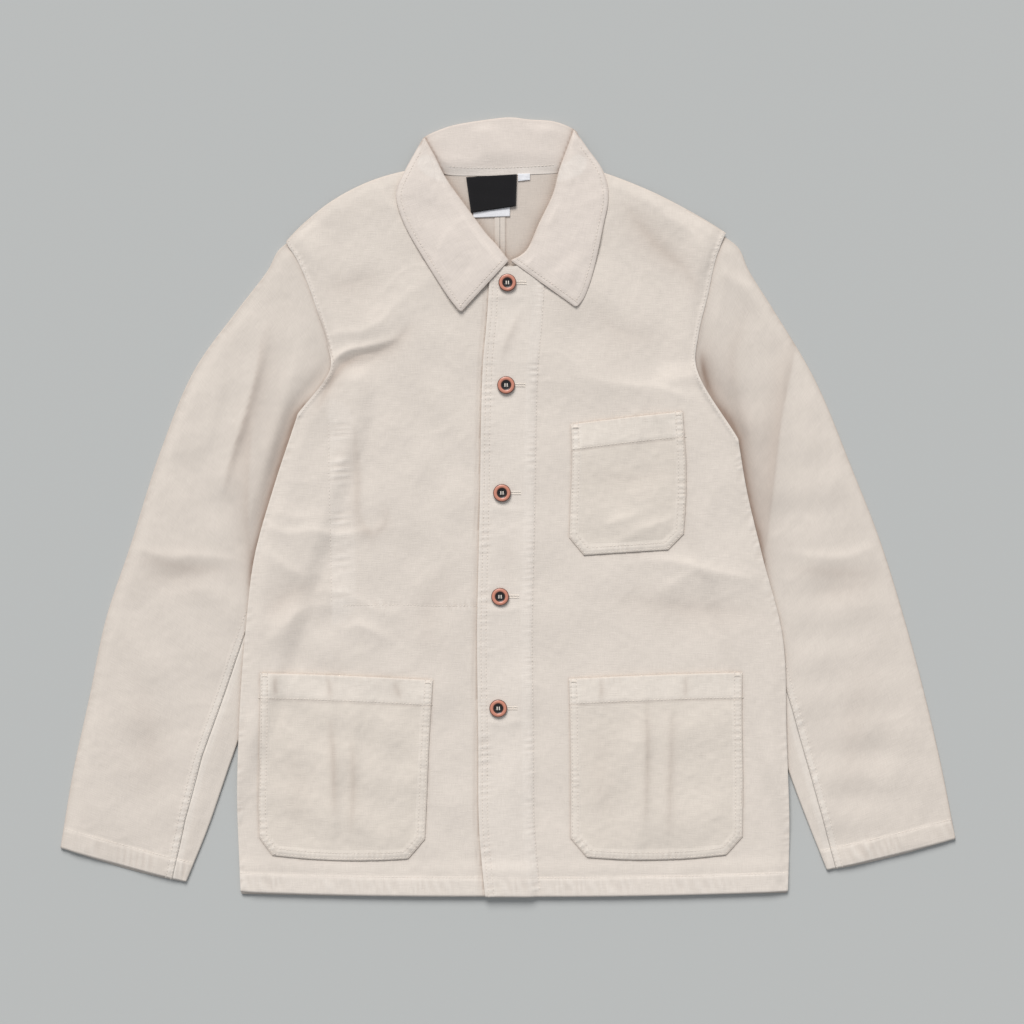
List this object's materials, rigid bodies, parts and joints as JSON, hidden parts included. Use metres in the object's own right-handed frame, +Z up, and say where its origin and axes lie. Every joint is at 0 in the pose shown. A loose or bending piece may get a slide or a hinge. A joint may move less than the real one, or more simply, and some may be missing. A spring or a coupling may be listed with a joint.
{
  "type": "chore jacket",
  "caption": "Cotton work jacket laid flat with its front buttoned: turn-down collar, patch pockets on the chest and hips, two-piece sleeves.",
  "frame": {"origin": "middle of the underside of the jacket's overall box, on the surface it lies on", "axes": "+X towards the wearer's left sleeve, +Y from the hem to the collar, +Z up from the surface"},
  "size_m": [0.896, 0.7798, 0.0097],
  "materials": {
    "body_cotton": "washed ecru cotton drill, matt, fine weave",
    "sleeve_cotton": "washed ecru cotton drill, matt, a little darker where it turns away",
    "pocket_cotton": "washed ecru cotton drill, puckered along its stitching",
    "collar_cotton": "washed ecru cotton drill, worn lighter along its edges",
    "button": "dished two-hole button, copper brown rim and near black middle",
    "black_label": "woven black satin, blank",
    "white_label": "woven white satin, blank"
  },
  "bodies": {
    "root": {"back_right": "body_cotton", "back_left": "body_cotton", "front_right": "body_cotton", "front_left": "body_cotton", "top_sleeve_right": "sleeve_cotton", "under_sleeve_right": "sleeve_cotton", "top_sleeve_left": "sleeve_cotton", "under_sleeve_left": "sleeve_cotton", "collar": "collar_cotton", "chest_pocket": "pocket_cotton", "hip_pocket_right": "pocket_cotton", "hip_pocket_left": "pocket_cotton", "button_1": "button", "button_2": "button", "button_3": "button", "button_4": "button", "button_5": "button", "neck_label": "black_label", "care_label": "white_label", "size_tab": "white_label"}
  },
  "joints": []
}
